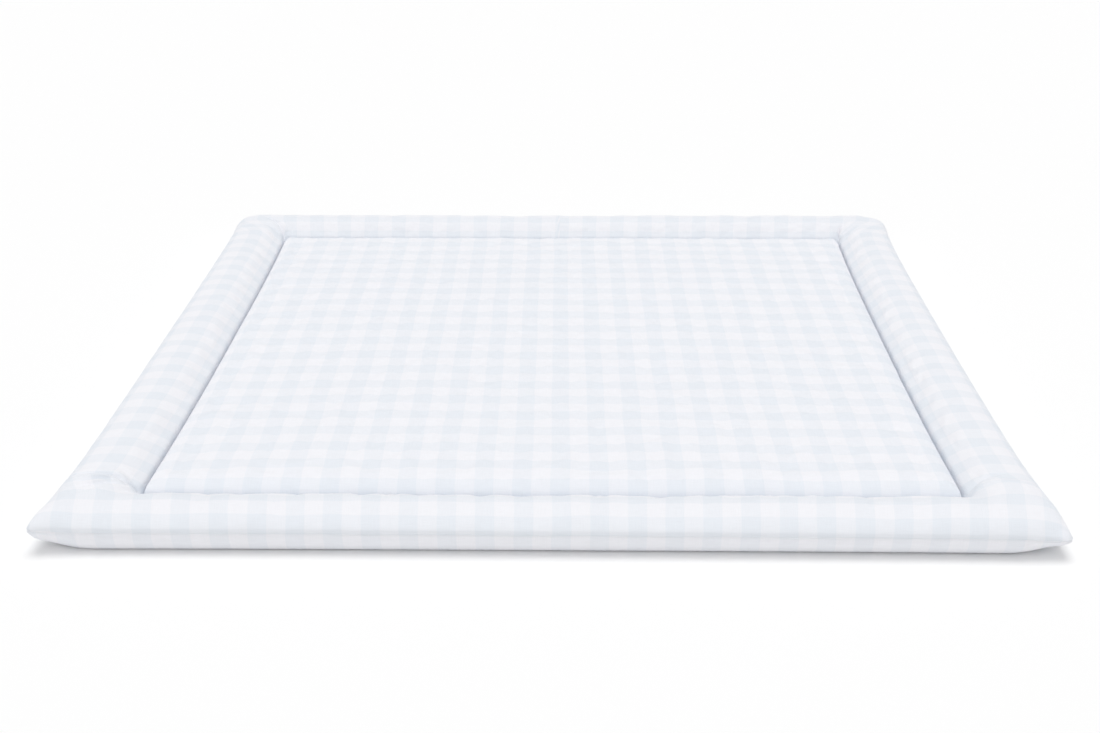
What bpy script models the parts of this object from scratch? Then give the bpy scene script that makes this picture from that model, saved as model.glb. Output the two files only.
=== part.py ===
"""Padded play mat of gingham cotton, as it lies flat on a floor.

One filled solid: a low crowned centre, a sewn channel round it, and a puffy border roll that ends in a
perimeter seam at half its height, with four pointed corner tips a little off the floor. The origin is on
the floor under the middle of the mat, with +X along its width and +Y towards its back edge.
"""

import math

import bmesh
import bpy

# Driving dimensions, in metres
CHECK = 0.0197
PANEL_WIDTH = 42 * CHECK
PANEL_DEPTH = 38.4 * CHECK
BORDER_WIDTH = 0.0865
ROLL_HEIGHT = 0.0395
PANEL_HEIGHT = 0.0290
CROWN_HEIGHT = 0.0325
CHANNEL_HEIGHT = 0.0190
SEAM_HEIGHT = 0.0230
PANEL_EDGE = 0.040
TIP_SIZE = 0.055
UNDER_REACH = 0.0155
UNDER_SLANT = 0.0035
CONTACT_RADIUS = 0.048

# How far each side is drawn in at its middle: left and right, then front and back
DRAW_IN_X = {-1: 0.0060, 1: 0.0120}
DRAW_IN_Y = {-1: 0.0020, 1: 0.0035}

# The corner tips, by side and end: how far each is pulled in towards the middle, and its lift off the floor
CORNERS = {
    (-1, -1): (0.000, 0.0030),
    (1, -1): (0.005, 0.0025),
    (-1, 1): (0.007, 0.0000),
    (1, 1): (0.011, 0.0000),
}

# Mesh steps: cells across the border, across the centre's soft edge, across its middle, and down the base
BORDER_CELLS = 11
EDGE_CELLS = 5
MIDDLE_CELLS = 12
BASE_CELLS = 6

# The main creases of the border. Each runs from a stitched corner, given by its two signs, along a
# heading in degrees that is measured from +X or -X towards the mat's own front or back edge.
CREASES = (
    # side, end, heading, length, width, depth
    (-1, -1, -12, 0.070, 0.011, 0.0060),
    (-1, -1, 12, 0.055, 0.009, 0.0040),
    (1, -1, -24, 0.060, 0.010, 0.0050),
    (-1, 1, 58, 0.095, 0.010, 0.0085),
    (1, 1, 62, 0.060, 0.010, 0.0055),
)

CLOTH_COLOR = (0.80, 0.87, 0.95, 1.0)


def clear_scene():
    for obj in list(bpy.data.objects):
        bpy.data.objects.remove(obj, do_unlink=True)


def quarter_round(share, power=2.2):
    """Height of a soft quarter round, from 0 at its foot to 1 at its top."""
    share = min(max(share, 0.0), 1.0)
    return (1.0 - (1.0 - share) ** power) ** (1.0 / power)


def smooth_step(share):
    share = min(max(share, 0.0), 1.0)
    return share * share * (3.0 - 2.0 * share)


def stations(half_panel):
    """Places along one axis, close together where the surface turns fast."""
    half = [half_panel - PANEL_EDGE]
    for i in range(1, EDGE_CELLS + 1):
        half.append(half_panel - PANEL_EDGE * math.cos(0.5 * math.pi * i / EDGE_CELLS))
    for i in range(1, BORDER_CELLS + 1):
        turn = math.pi * i / BORDER_CELLS
        half.append(half_panel + BORDER_WIDTH * 0.5 * (1.0 - math.cos(turn)))
    step = 2.0 * half[0] / MIDDLE_CELLS
    middle = [-half[0] + step * i for i in range(1, MIDDLE_CELLS)]
    return [-place for place in reversed(half)] + middle + half


def crease_depth(x, y):
    """Depth of the creases at one place."""
    total = 0.0
    for side, end, heading, length, width, depth in CREASES:
        turn = math.radians(heading)
        out = side * x - 0.5 * PANEL_WIDTH
        along_edge = end * y - 0.5 * PANEL_DEPTH
        along = out * math.cos(turn) + along_edge * math.sin(turn)
        across = along_edge * math.cos(turn) - out * math.sin(turn)
        fade = smooth_step(along / 0.012) * smooth_step((length - along) / (0.5 * length))
        total += depth * fade * math.exp(-((across / width) ** 2))
    return total


def panel_height(out_x, out_y):
    """Height of the crowned centre, where both distances past its edge are below zero."""
    soft = quarter_round(-out_x / PANEL_EDGE) * quarter_round(-out_y / PANEL_EDGE)
    share_x = 1.0 + 2.0 * out_x / PANEL_WIDTH
    share_y = 1.0 + 2.0 * out_y / PANEL_DEPTH
    crown = (1.0 - share_x ** 4) * (1.0 - share_y ** 4)
    height = CHANNEL_HEIGHT + (PANEL_HEIGHT - CHANNEL_HEIGHT) * soft
    return height + (CROWN_HEIGHT - PANEL_HEIGHT) * crown


def border_height(out_x, out_y):
    """Height of the border roll: up from the sewn channel, and down to the perimeter seam."""
    half_width = 0.5 * BORDER_WIDTH
    from_channel = math.hypot(max(out_x, 0.0), max(out_y, 0.0))
    rise = quarter_round(from_channel / half_width)
    crest = CHANNEL_HEIGHT + (ROLL_HEIGHT - CHANNEL_HEIGHT) * rise
    left_x = quarter_round((BORDER_WIDTH - out_x) / half_width, 2.6)
    left_y = quarter_round((BORDER_WIDTH - out_y) / half_width, 2.6)
    return SEAM_HEIGHT + (crest - SEAM_HEIGHT) * left_x * left_y


def tip_share(out_x, out_y):
    """1 at a corner tip, and 0 from one tip size away."""
    away = math.hypot(BORDER_WIDTH - out_x, BORDER_WIDTH - out_y)
    return 1.0 - smooth_step(away / TIP_SIZE)


def drawn_in(place, half_panel, share_along, draw_in):
    """A place on one axis, pulled in towards the middle of each side and not at the corners."""
    out = max(abs(place) - half_panel, 0.0) / BORDER_WIDTH
    pull = draw_in * out * (1.0 - share_along ** 4)
    return place - math.copysign(pull, place)


def laid(x, y, height):
    """A place on the plain rectangle, moved to where the drawn-in sides and the corner tips lie."""
    side = -1 if x < 0.0 else 1
    end = -1 if y < 0.0 else 1
    share_x = x / (0.5 * PANEL_WIDTH + BORDER_WIDTH)
    share_y = y / (0.5 * PANEL_DEPTH + BORDER_WIDTH)
    pull, lift = CORNERS[side, end]
    tip = tip_share(abs(x) - 0.5 * PANEL_WIDTH, abs(y) - 0.5 * PANEL_DEPTH)
    return (
        drawn_in(x, 0.5 * PANEL_WIDTH, share_y, DRAW_IN_X[side]) - side * pull * tip,
        drawn_in(y, 0.5 * PANEL_DEPTH, share_x, DRAW_IN_Y[end]) - end * pull * tip,
        height + lift * tip * height / SEAM_HEIGHT,
    )


def top_height(x, y):
    out_x = abs(x) - 0.5 * PANEL_WIDTH
    out_y = abs(y) - 0.5 * PANEL_DEPTH
    if max(out_x, out_y) < 0.0:
        return panel_height(out_x, out_y)
    return border_height(out_x, out_y) - crease_depth(x, y)


def contact_place(x, y):
    """Where the base panel below a point of the perimeter seam meets the floor."""
    reach_x = 0.5 * PANEL_WIDTH + BORDER_WIDTH
    reach_y = 0.5 * PANEL_DEPTH + BORDER_WIDTH
    under = UNDER_REACH + UNDER_SLANT * x / reach_x
    core_x = reach_x - under - CONTACT_RADIUS
    core_y = reach_y - under - CONTACT_RADIUS
    turn_x = max(abs(x) - core_x, 0.0) / (reach_x - core_x)
    turn_y = max(abs(y) - core_y, 0.0) / (reach_y - core_y)
    turn = math.hypot(turn_x, turn_y)
    floor_x = min(abs(x), core_x) + CONTACT_RADIUS * turn_x / turn
    floor_y = min(abs(y), core_y) + CONTACT_RADIUS * turn_y / turn
    return math.copysign(floor_x, x), math.copysign(floor_y, y)


def base_place(seam_x, seam_y, turn):
    """A place on the base panel, a turn in radians down from the seam, where a quarter turn is the floor."""
    floor_x, floor_y = contact_place(seam_x, seam_y)
    inward = 1.0 - math.cos(turn)
    x = seam_x + (floor_x - seam_x) * inward
    y = seam_y + (floor_y - seam_y) * inward
    return laid(x, y, SEAM_HEIGHT * (1.0 - math.sin(turn)))


def add_top_panel(mesh):
    """A grid whose rows and columns move to their stations, then up onto the padded surface.

    It returns the perimeter's vertices, each with its place on the plain rectangle.
    """
    across = stations(0.5 * PANEL_WIDTH)
    deep = stations(0.5 * PANEL_DEPTH)
    columns = len(across) - 1
    rows = len(deep) - 1
    bmesh.ops.create_grid(mesh, x_segments=columns, y_segments=rows, size=1.0)
    seam = {}
    for vert in mesh.verts:
        x = across[round((vert.co.x + 1.0) * 0.5 * columns)]
        y = deep[round((vert.co.y + 1.0) * 0.5 * rows)]
        vert.co = laid(x, y, top_height(x, y))
        if vert.is_boundary:
            seam[vert] = (x, y)
    return seam


def add_base_panel(mesh, seam):
    """The perimeter is extruded ring by ring, round and down to the floor, and closed with a flat face."""
    rim = [edge for edge in mesh.edges if edge.is_boundary]
    for ring in range(1, BASE_CELLS + 1):
        turn = 0.5 * math.pi * ring / BASE_CELLS
        grown = bmesh.ops.extrude_edge_only(mesh, edges=rim)["geom"]
        rim = [part for part in grown if isinstance(part, bmesh.types.BMEdge) and part.is_boundary]
        verts = [part for part in grown if isinstance(part, bmesh.types.BMVert)]
        seam = {vert: seam_above(vert, seam) for vert in verts}
        for vert, (seam_x, seam_y) in seam.items():
            vert.co = base_place(seam_x, seam_y, turn)
    bmesh.ops.edgeloop_fill(mesh, edges=rim)


def seam_above(vert, seam):
    """The seam place above a new vertex, found by the vertex that it was extruded from."""
    for edge in vert.link_edges:
        other = edge.other_vert(vert)
        if other in seam:
            return seam[other]
    raise RuntimeError("the base panel's vertex has nothing above it")


def centre_on_origin(mesh):
    """The uneven sides and corners are balanced, so that the origin is under the middle of the whole mat."""
    for axis in (0, 1):
        places = [vert.co[axis] for vert in mesh.verts]
        middle = 0.5 * (min(places) + max(places))
        for vert in mesh.verts:
            vert.co[axis] -= middle


def cloth_material():
    material = bpy.data.materials.new("gingham_cotton")
    material.use_nodes = True
    shader = material.node_tree.nodes["Principled BSDF"]
    shader.inputs["Base Color"].default_value = CLOTH_COLOR
    shader.inputs["Roughness"].default_value = 0.9
    shader.inputs["Metallic"].default_value = 0.0
    return material


def make_play_mat(collection):
    mesh = bmesh.new()
    seam = add_top_panel(mesh)
    add_base_panel(mesh, seam)
    centre_on_origin(mesh)
    bmesh.ops.recalc_face_normals(mesh, faces=mesh.faces)
    data = bpy.data.meshes.new("play_mat")
    mesh.to_mesh(data)
    mesh.free()
    data.shade_smooth()
    data.materials.append(cloth_material())
    collection.objects.link(bpy.data.objects.new("play_mat", data))


def main():
    clear_scene()
    collection = bpy.data.collections.new("baby_play_mat")
    bpy.context.scene.collection.children.link(collection)
    make_play_mat(collection)


main()
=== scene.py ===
"""Padded play mat of pale blue gingham cotton, lying flat on a pale floor.

The mat is one closed, filled form: a crowned centre, a sewn channel round it, and a puffy border roll that
ends in a perimeter seam at half its height, above a base panel of the same cloth. The cloth swells between
its seams in a short simulation. The stitches of the channel and of the perimeter are pieces of their own.
Lengths are in metres. Places are measured from the middle of the stitched centre, on the floor.
"""

import math

import bmesh
import bpy
import numpy as np
from mathutils import Matrix, Vector


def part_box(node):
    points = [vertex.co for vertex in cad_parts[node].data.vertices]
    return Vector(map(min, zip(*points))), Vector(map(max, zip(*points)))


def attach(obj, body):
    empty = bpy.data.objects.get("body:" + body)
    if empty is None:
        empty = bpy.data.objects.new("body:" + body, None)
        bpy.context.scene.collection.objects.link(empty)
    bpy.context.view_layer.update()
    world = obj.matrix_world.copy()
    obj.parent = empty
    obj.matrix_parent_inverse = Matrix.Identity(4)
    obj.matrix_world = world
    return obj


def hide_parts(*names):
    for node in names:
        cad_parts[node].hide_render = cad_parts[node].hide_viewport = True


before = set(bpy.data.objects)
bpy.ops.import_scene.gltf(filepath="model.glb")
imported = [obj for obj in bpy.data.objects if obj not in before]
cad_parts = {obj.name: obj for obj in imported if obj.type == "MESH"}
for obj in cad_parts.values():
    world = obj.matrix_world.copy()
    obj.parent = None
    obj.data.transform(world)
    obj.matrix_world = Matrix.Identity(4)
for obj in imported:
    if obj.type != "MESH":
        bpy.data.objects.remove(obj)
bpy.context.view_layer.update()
MAT_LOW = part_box("play_mat")[0]

bl_info = {
    "name": "Padded Gingham Play Mat",
    "version": (1, 0, 0),
    "blender": (4, 5, 0),
    "location": "View3D > Sidebar > Play Mat",
    "description": "Builds a padded play mat with a sewn channel and a border roll",
    "category": "Object",
}

BODY = "root"
NODE = "play_mat"

# The cloth's own measure: one check, and one repeat of a coloured and a white check
CHECK = 0.0197
REPEAT = 2.0 * CHECK

# Plan sizes: the stitched rectangle and the border outside it, along X and along Y
PANEL_HALF_X = 21.0 * CHECK + 0.0037
PANEL_HALF_Y = 19.2 * CHECK
BORDER_X = 0.0828
BORDER_Y = 0.0865
REACH_X = PANEL_HALF_X + BORDER_X
REACH_Y = PANEL_HALF_Y + BORDER_Y

# The middle of the stitched centre in the frame, whose origin is under the middle of the whole mat
CENTRE = Vector((MAT_LOW.x + REACH_X, MAT_LOW.y + REACH_Y, 0.0))

# How far each side is drawn in at its middle: left and right, then front and back
DRAW_IN_X = {-1: 0.0060, 1: 0.0120}
DRAW_IN_Y = {-1: 0.0020, 1: 0.0035}

# How far the left and right sides spread outwards again towards the front corners
FLARE = 0.0042
FLARE_LENGTH = 0.150

# The corner tips, by side and end: pull towards the middle, lift off the floor, and roundness in plan
CORNERS = {
    (-1, -1): (-0.0010, 0.0030, 0.006),
    (1, -1): (0.0020, -0.0030, 0.009),
    (-1, 1): (0.0040, 0.0000, 0.030),
    (1, 1): (0.0060, 0.0000, 0.045),
}
TIP_SIZE = 0.055

# The base panel: how far inside the seam it meets the floor, more on the right than on the left, the radius
# of its corners there, and how much sooner it turns inwards below a corner tip
UNDER_REACH = 0.0155
UNDER_SLANT = 0.0035
CONTACT_RADIUS = 0.048
TIP_SHARE = 0.5

# The last turn before the floor, in radians, over which the base panel's notch and puckers fade
FLOOR_TURN = 0.3

# Width of the centre's soft edge along the sides, the front and the back
SIDE_EDGE = 0.021
FRONT_EDGE = 0.027
BACK_EDGE = 0.016

# Powers of the soft curves, where a higher one is fuller, and the share of its curve at which a seam starts
ROUND_POWER = 2.2
FALL_POWER_X = 3.0
FALL_POWER_Y = 2.3
SIDE_POWER = 4
BOW_POWER = 3
SEAM_START = 0.010

# The place of the roll's crest, as a share of the border's width, and the front roll's own: further out
# and less full in its rise
CREST_SHARE = 0.50
FRONT_SHIFT = 0.10
FRONT_SLACK = 0.55

# Extra height of the back roll, and the lengths over which it comes and goes
BACK_RISE = 0.0022
BACK_RISE_START = 0.020
BACK_RISE_END = 0.040

# How far the side channels bow in at their middle, and the strip of the centre that moves with them
CHANNEL_BOW = 0.0056
BOW_STRIP = 0.120

# The line that the stitches pull down in the channel, and the notch of the perimeter seam
SLIT_DEPTH = 0.0035
SLIT_WIDTH = 0.0018
SEAM_DEPTH = 0.0013
SEAM_WIDTH = 0.0011
SEAM_STRIP = 0.006

# The edge stitches' rise above the seam, and the groove that they pull into the cloth
EDGE_STITCH_RISE = 0.0027
GROOVE_DEPTH = 0.0005
GROOVE_WIDTH = 0.0008

# The lean of the channel's two walls, by its amount, place and width, and the length over which it ends
ROLL_LEAN = (0.0026, 0.0050, 0.0030)
CENTRE_LEAN = (0.0016, 0.0042, 0.0028)
LEAN_END = 0.012

# One stitch of the sewing thread: its length, its thickness, and the step to the next one
STITCH_LENGTH = 0.0030
THREAD_SIZE = 0.0006
STITCH_STEP = 0.0040

# Lumps in the filling: height, size and seed
LUMPS = (
    (0.0007, 0.070, 3),
    (0.0005, 0.033, 4),
    (0.0010, 0.160, 5),
    (0.00022, 0.014, 6),
)

# Lengths over which the lumps and then the puckers come, away from the channel and the seam
LUMP_START = 0.012
LUMP_END = 0.010
CHANNEL_REST = 0.003
SEAM_REST = 0.004
BASE_REST = 0.003

# Puckers at the channel, above the seam and below it: height, reach and seed
CHANNEL_PUCKERS = (0.0008, 0.013, 11)
SEAM_PUCKERS = (0.0008, 0.012, 21)
BASE_PUCKERS = (0.0005, 0.012, 31)

# The small and the wide puckers by share and size, how slowly both change away from the line, and their
# strength by its middle, its spread and the stretch over which it changes
SMALL_PUCKER = (0.55, 0.0065)
WIDE_PUCKER = (0.75, 0.0190)
PUCKER_SLOWNESS = 0.15
PUCKER_STRENGTH = (0.55, 0.45, 0.11)

# Random hills: a lattice's cells each way, and the place of the mat's middle on it
LATTICE = 64
LATTICE_X = 31.37
LATTICE_Y = 30.71

# Small amounts against a division by zero and against rounding
TINY = 1e-9
NEAR = 1e-6

# Creases of the border, each from a stitched corner along a heading that is measured from +X or -X
# towards the mat's own front or back edge. Spread widens the crease on its far side, lean is how far
# its near side hangs over it, and bend turns it sideways by its own length.
CREASES = (
    # side, end, heading, length, width, depth, ridge, spread, lean, bend
    (-1, -1, -9, 0.086, 0.0028, 0.0050, 0.65, 1.0, 0.0, 0.06),
    (-1, -1, 5, 0.074, 0.0026, 0.0045, 0.65, 1.0, 0.0, 0.10),
    (-1, -1, 19, 0.072, 0.0028, 0.0045, 0.60, 1.0, 0.0, 0.06),
    (-1, -1, 31, 0.070, 0.0032, 0.0030, 0.50, 1.0, 0.0, 0.00),
    (-1, -1, -34, 0.046, 0.0032, 0.0016, 0.50, 1.0, 0.0, -0.05),
    (1, -1, -28, 0.060, 0.0034, 0.0022, 0.40, 1.0, 0.0, 0.22),
    (1, -1, 12, 0.040, 0.0028, 0.0018, 0.40, 1.0, 0.0, 0.10),
    (-1, 1, 57, 0.078, 0.0026, 0.0052, 0.00, 2.0, 0.0044, -0.10),
    (-1, 1, 24, 0.050, 0.0034, 0.0014, 0.30, 1.0, 0.0, 0.08),
    (1, 1, 64, 0.040, 0.0026, 0.0050, 0.00, 1.6, 0.0052, 0.00),
    (1, 1, 26, 0.044, 0.0034, 0.0014, 0.30, 1.0, 0.0, 0.08),
)

# Every crease: the length over which it starts, the share of its length over which it fades, and in its own
# widths the place and width of its ridge and of its lean
CREASE_START = 0.008
CREASE_FADE = 0.6
RIDGE_PLACE = 2.0
RIDGE_WIDTH = 1.3
LEAN_PLACE = 1.6
LEAN_WIDTH = 1.4


def smooth_step(share):
    share = np.clip(share, 0.0, 1.0)
    return share * share * (3.0 - 2.0 * share)


def quarter_round(share, power=ROUND_POWER):
    """Height of a soft quarter round, from 0 at its foot to 1 at its top."""
    share = np.clip(share, 0.0, 1.0)
    return (1.0 - (1.0 - share) ** power) ** (1.0 / power)


def bell(place, width):
    """A smooth bell, 1 at its middle and 0.37 at its width."""
    return np.exp(-((place / width) ** 2))


def outside(x, y):
    """How far places lie outside the stitched rectangle along X and along Y, below zero inside it."""
    return np.abs(x) - PANEL_HALF_X, np.abs(y) - PANEL_HALF_Y


def soft_noise(x, y, size, seed):
    """Smooth random hills between -1 and 1, about one hill to each stretch of that size."""
    lattice = np.random.default_rng(seed).uniform(-1.0, 1.0, (LATTICE, LATTICE))
    column, row = x / size + LATTICE_X, y / size + LATTICE_Y
    i, j = np.floor(column).astype(int), np.floor(row).astype(int)
    a, b = smooth_step(column - i), smooth_step(row - j)
    i_next, j_next = (i + 1) % LATTICE, (j + 1) % LATTICE
    i, j = i % LATTICE, j % LATTICE
    near = lattice[j, i] * (1.0 - a) + lattice[j, i_next] * a
    far = lattice[j_next, i] * (1.0 - a) + lattice[j_next, i_next] * a
    return near * (1.0 - b) + far * b


class MatSizes(bpy.types.PropertyGroup):
    """Heights and fullness of the mat."""

    roll_height: bpy.props.FloatProperty(
        name="Roll height", description="Height of the border roll's crest",
        default=0.0395, min=0.02, max=0.08, unit="LENGTH",
    )
    panel_height: bpy.props.FloatProperty(
        name="Centre height", description="Height of the centre near its edge",
        default=0.0290, min=0.015, max=0.06, unit="LENGTH",
    )
    crown_height: bpy.props.FloatProperty(
        name="Crown height", description="Height of the centre at its middle",
        default=0.0325, min=0.015, max=0.07, unit="LENGTH",
    )
    channel_height: bpy.props.FloatProperty(
        name="Channel height", description="Height of the sewn channel's bottom",
        default=0.0095, min=0.004, max=0.03, unit="LENGTH",
    )
    seam_height: bpy.props.FloatProperty(
        name="Seam height", description="Height of the perimeter seam",
        default=0.0230, min=0.01, max=0.04, unit="LENGTH",
    )
    swell: bpy.props.FloatProperty(
        name="Swell", description="Pressure of the filling in the simulation",
        default=4.0, min=0.0, max=20.0,
    )
    swell_limit: bpy.props.FloatProperty(
        name="Swell limit", description="The furthest that the simulation may move the cloth",
        default=0.0030, min=0.0, max=0.02, unit="LENGTH",
    )


class ClothColours(bpy.types.PropertyGroup):
    """Colours of the gingham and of its thread."""

    white: bpy.props.FloatVectorProperty(
        name="White yarn", description="Colour of the white yarn",
        default=(0.915, 0.918, 0.955), min=0.0, max=1.0, size=3, subtype="COLOR",
    )
    blue: bpy.props.FloatVectorProperty(
        name="Blue yarn", description="Colour of the pale blue yarn",
        default=(0.828, 0.862, 0.915), min=0.0, max=1.0, size=3, subtype="COLOR",
    )
    thread: bpy.props.FloatVectorProperty(
        name="Sewing thread", description="Colour of the sewing thread",
        default=(0.860, 0.870, 0.890), min=0.0, max=1.0, size=3, subtype="COLOR",
    )
    yarn_pitch: bpy.props.FloatProperty(
        name="Yarn pitch", description="Width of one yarn of the plain weave",
        default=0.0005, min=0.0002, max=0.002, unit="LENGTH",
    )


class StageSettings(bpy.types.PropertyGroup):
    """The floor and the light round the mat."""

    floor_colour: bpy.props.FloatVectorProperty(
        name="Floor", description="Colour of the floor",
        default=(0.97, 0.97, 0.97), min=0.0, max=1.0, size=3, subtype="COLOR",
    )
    sky_strength: bpy.props.FloatProperty(
        name="Sky strength", description="Strength of the even light from all round",
        default=0.475, min=0.0, max=5.0,
    )
    overhead_strength: bpy.props.FloatProperty(
        name="Overhead strength", description="Strength of the soft light from straight above",
        default=1.445, min=0.0, max=20.0,
    )
    front_strength: bpy.props.FloatProperty(
        name="Front strength", description="Strength of the soft light from the front",
        default=0.44, min=0.0, max=20.0,
    )


def seam_round(share, power):
    """A quarter round that starts at the seam with a slope, where two panels meet, not upright."""
    foot = quarter_round(SEAM_START, power)
    return (quarter_round(SEAM_START + (1.0 - SEAM_START) * share, power) - foot) / (1.0 - foot)


def border_height(sizes, out_x, out_y, gentle):
    """Height of the border roll: up from the sewn channel, and down to the perimeter seam.

    Where gentle is 1, as on the front roll, the roll leans back more gently from the channel.
    """
    out_x, out_y = np.maximum(out_x, 0.0), np.maximum(out_y, 0.0)
    from_channel = np.hypot(out_x, out_y)
    slack = gentle * out_y ** 2 / np.maximum(from_channel, NEAR) ** 2
    crest_at = (CREST_SHARE + FRONT_SHIFT * slack) * BORDER_Y
    rise = quarter_round(from_channel / crest_at, ROUND_POWER - FRONT_SLACK * slack)
    crest = sizes.channel_height + (sizes.roll_height - sizes.channel_height) * rise
    left_x = seam_round((BORDER_X - out_x) / (0.5 * BORDER_X), FALL_POWER_X)
    left_y = seam_round((BORDER_Y - out_y) / (0.5 * BORDER_Y), FALL_POWER_Y)
    return sizes.seam_height + (crest - sizes.seam_height) * left_x * left_y


def tip_share(out_x, out_y):
    """1 at a corner tip, and 0 from one tip size away."""
    return 1.0 - smooth_step(np.hypot(BORDER_X - out_x, BORDER_Y - out_y) / TIP_SIZE)


def panel_height(sizes, out_x, out_y, end_edge):
    """Height of the crowned centre, where both distances past its edge are below zero."""
    soft = np.minimum(quarter_round(-out_x / SIDE_EDGE), quarter_round(-out_y / end_edge))
    share_x = 1.0 + out_x / PANEL_HALF_X
    share_y = 1.0 + out_y / PANEL_HALF_Y
    crown = (1.0 - share_x ** SIDE_POWER) * (1.0 - share_y ** SIDE_POWER)
    height = sizes.channel_height + (sizes.panel_height - sizes.channel_height) * soft
    return height + (sizes.crown_height - sizes.panel_height) * crown


def creases(x, y):
    """Depth of the creases, each a trough with a low ridge on one side, and their lean along X and Y."""
    total, lean_x, lean_y = np.zeros_like(x), np.zeros_like(x), np.zeros_like(x)
    for side, end, heading, length, width, depth, ridge, spread, lean, bend in CREASES:
        turn = math.radians(heading)
        out = side * x - PANEL_HALF_X
        along_edge = end * y - PANEL_HALF_Y
        along = out * math.cos(turn) + along_edge * math.sin(turn)
        across = along_edge * math.cos(turn) - out * math.sin(turn)
        across = across - bend * along * np.abs(along) / length
        fade = smooth_step(along / CREASE_START) * smooth_step((length - along) / (CREASE_FADE * length))
        trough = bell(across, np.where(across > 0.0, spread * width, width))
        beside = ridge * bell(across - RIDGE_PLACE * width, RIDGE_WIDTH * width)
        total += depth * fade * (trough - beside)
        over = lean * fade * bell(across + LEAN_PLACE * width, LEAN_WIDTH * width)
        lean_x -= side * math.sin(turn) * over
        lean_y += end * math.cos(turn) * over
    return total, lean_x, lean_y


def puckers(along, away, height, reach, seed):
    """Short ridges that run out from a line of stitches, closest and deepest at the line."""
    small = SMALL_PUCKER[0] * soft_noise(along, away * PUCKER_SLOWNESS, SMALL_PUCKER[1], seed)
    wide = WIDE_PUCKER[0] * soft_noise(along, away * PUCKER_SLOWNESS, WIDE_PUCKER[1], seed + 1)
    middle, spread, stretch = PUCKER_STRENGTH
    strong = middle + spread * soft_noise(along, 0.0 * away, stretch, seed + 2)
    return height * (strong * (small + wide) * np.exp(-away / reach))


def unevenness(x, y):
    """How far the cloth stands above or below the even form, from lumps in the filling and from the seams."""
    out_x, out_y = outside(x, y)
    out = np.maximum(out_x, out_y)
    lumps = np.zeros_like(x)
    for height, size, seed in LUMPS:
        lumps += height * soft_noise(x, y, size, seed)
    from_channel = np.abs(out)
    to_seam = 0.5 * (BORDER_X + BORDER_Y) - out
    rest = smooth_step(from_channel / LUMP_START) * smooth_step(to_seam / LUMP_END)
    side_line = out_x > out_y
    along = np.where(side_line, y, x)
    channel = puckers(along, from_channel, *CHANNEL_PUCKERS) * smooth_step(from_channel / CHANNEL_REST)
    from_seam = np.minimum(BORDER_X - out_x, BORDER_Y - out_y)
    near_x = (BORDER_X - out_x) < (BORDER_Y - out_y)
    seam = puckers(np.where(near_x, y, x), np.maximum(from_seam, 0.0), *SEAM_PUCKERS)
    in_border = smooth_step(out / LUMP_END)
    edge_rest = smooth_step(from_seam / SEAM_REST)
    return lumps * rest + channel + seam * in_border * edge_rest


def drawn_in(place, half_panel, border, share_along, draw_in):
    """A place on one axis, pulled in towards the middle of each side and not at the corners."""
    out = np.maximum(np.abs(place) - half_panel, 0.0) / border
    pull = draw_in * out * (1.0 - share_along ** SIDE_POWER)
    return place - np.copysign(pull, place)


def by_side(x, y, column):
    """One column of the corner table, for the quarter of the mat that each point lies in."""
    chosen = np.zeros_like(x)
    for (side, end), row in CORNERS.items():
        chosen = np.where((np.sign(x) == side) & (np.sign(y) == end), row[column], chosen)
    return chosen


def rounded(x, y):
    """Plan places with the square corners rounded off."""
    radius = np.maximum(by_side(x, y, 2), NEAR)
    core_x, core_y = REACH_X - radius, REACH_Y - radius
    a = np.maximum(np.abs(x) - core_x, 0.0)
    b = np.maximum(np.abs(y) - core_y, 0.0)
    both = (a > 0.0) & (b > 0.0)
    scale = np.where(both, np.maximum(a, b) / np.maximum(np.hypot(a, b), TINY), 1.0)
    new_x = np.where(both, np.copysign(core_x + a * scale, x), x)
    new_y = np.where(both, np.copysign(core_y + b * scale, y), y)
    return new_x, new_y


def flare(x, y):
    """How far a place moves outwards where the sides spread towards the front corners."""
    out = np.clip((np.abs(x) - PANEL_HALF_X) / BORDER_X, 0.0, 1.0)
    return FLARE * out * smooth_step((FLARE_LENGTH - REACH_Y - y) / FLARE_LENGTH)


def bow(x, y):
    """How far the two side channels, and the cloth beside them, bow in towards the middle of the mat."""
    along = np.clip(np.abs(y) / PANEL_HALF_Y, 0.0, 1.0)
    out = np.abs(x) - PANEL_HALF_X
    inner = np.clip(1.0 + out / BOW_STRIP, 0.0, 1.0)
    outer = np.clip(1.0 - out / BORDER_X, 0.0, 1.0)
    return CHANNEL_BOW * (1.0 - along ** BOW_POWER) * smooth_step(np.where(out < 0.0, inner, outer))


def laid(sizes, x, y, height):
    """Places on the plain rectangle, moved to where the drawn-in sides and the corner tips lie."""
    side = np.where(x < 0.0, -1.0, 1.0)
    end = np.where(y < 0.0, -1.0, 1.0)
    tip = tip_share(*outside(x, y))
    pull = by_side(x, y, 0) * tip
    lift = by_side(x, y, 1) * tip
    draw_x = np.where(side < 0.0, DRAW_IN_X[-1], DRAW_IN_X[1])
    draw_y = np.where(end < 0.0, DRAW_IN_Y[-1], DRAW_IN_Y[1])
    round_x, round_y = rounded(x, y)
    spread = flare(x, y) - bow(x, y)
    new_x = drawn_in(round_x, PANEL_HALF_X, BORDER_X, y / REACH_Y, draw_x) - side * (pull - spread)
    new_y = drawn_in(round_y, PANEL_HALF_Y, BORDER_Y, x / REACH_X, draw_y) - end * pull
    return np.stack([new_x, new_y, height + lift * height / sizes.seam_height], axis=-1)


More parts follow.
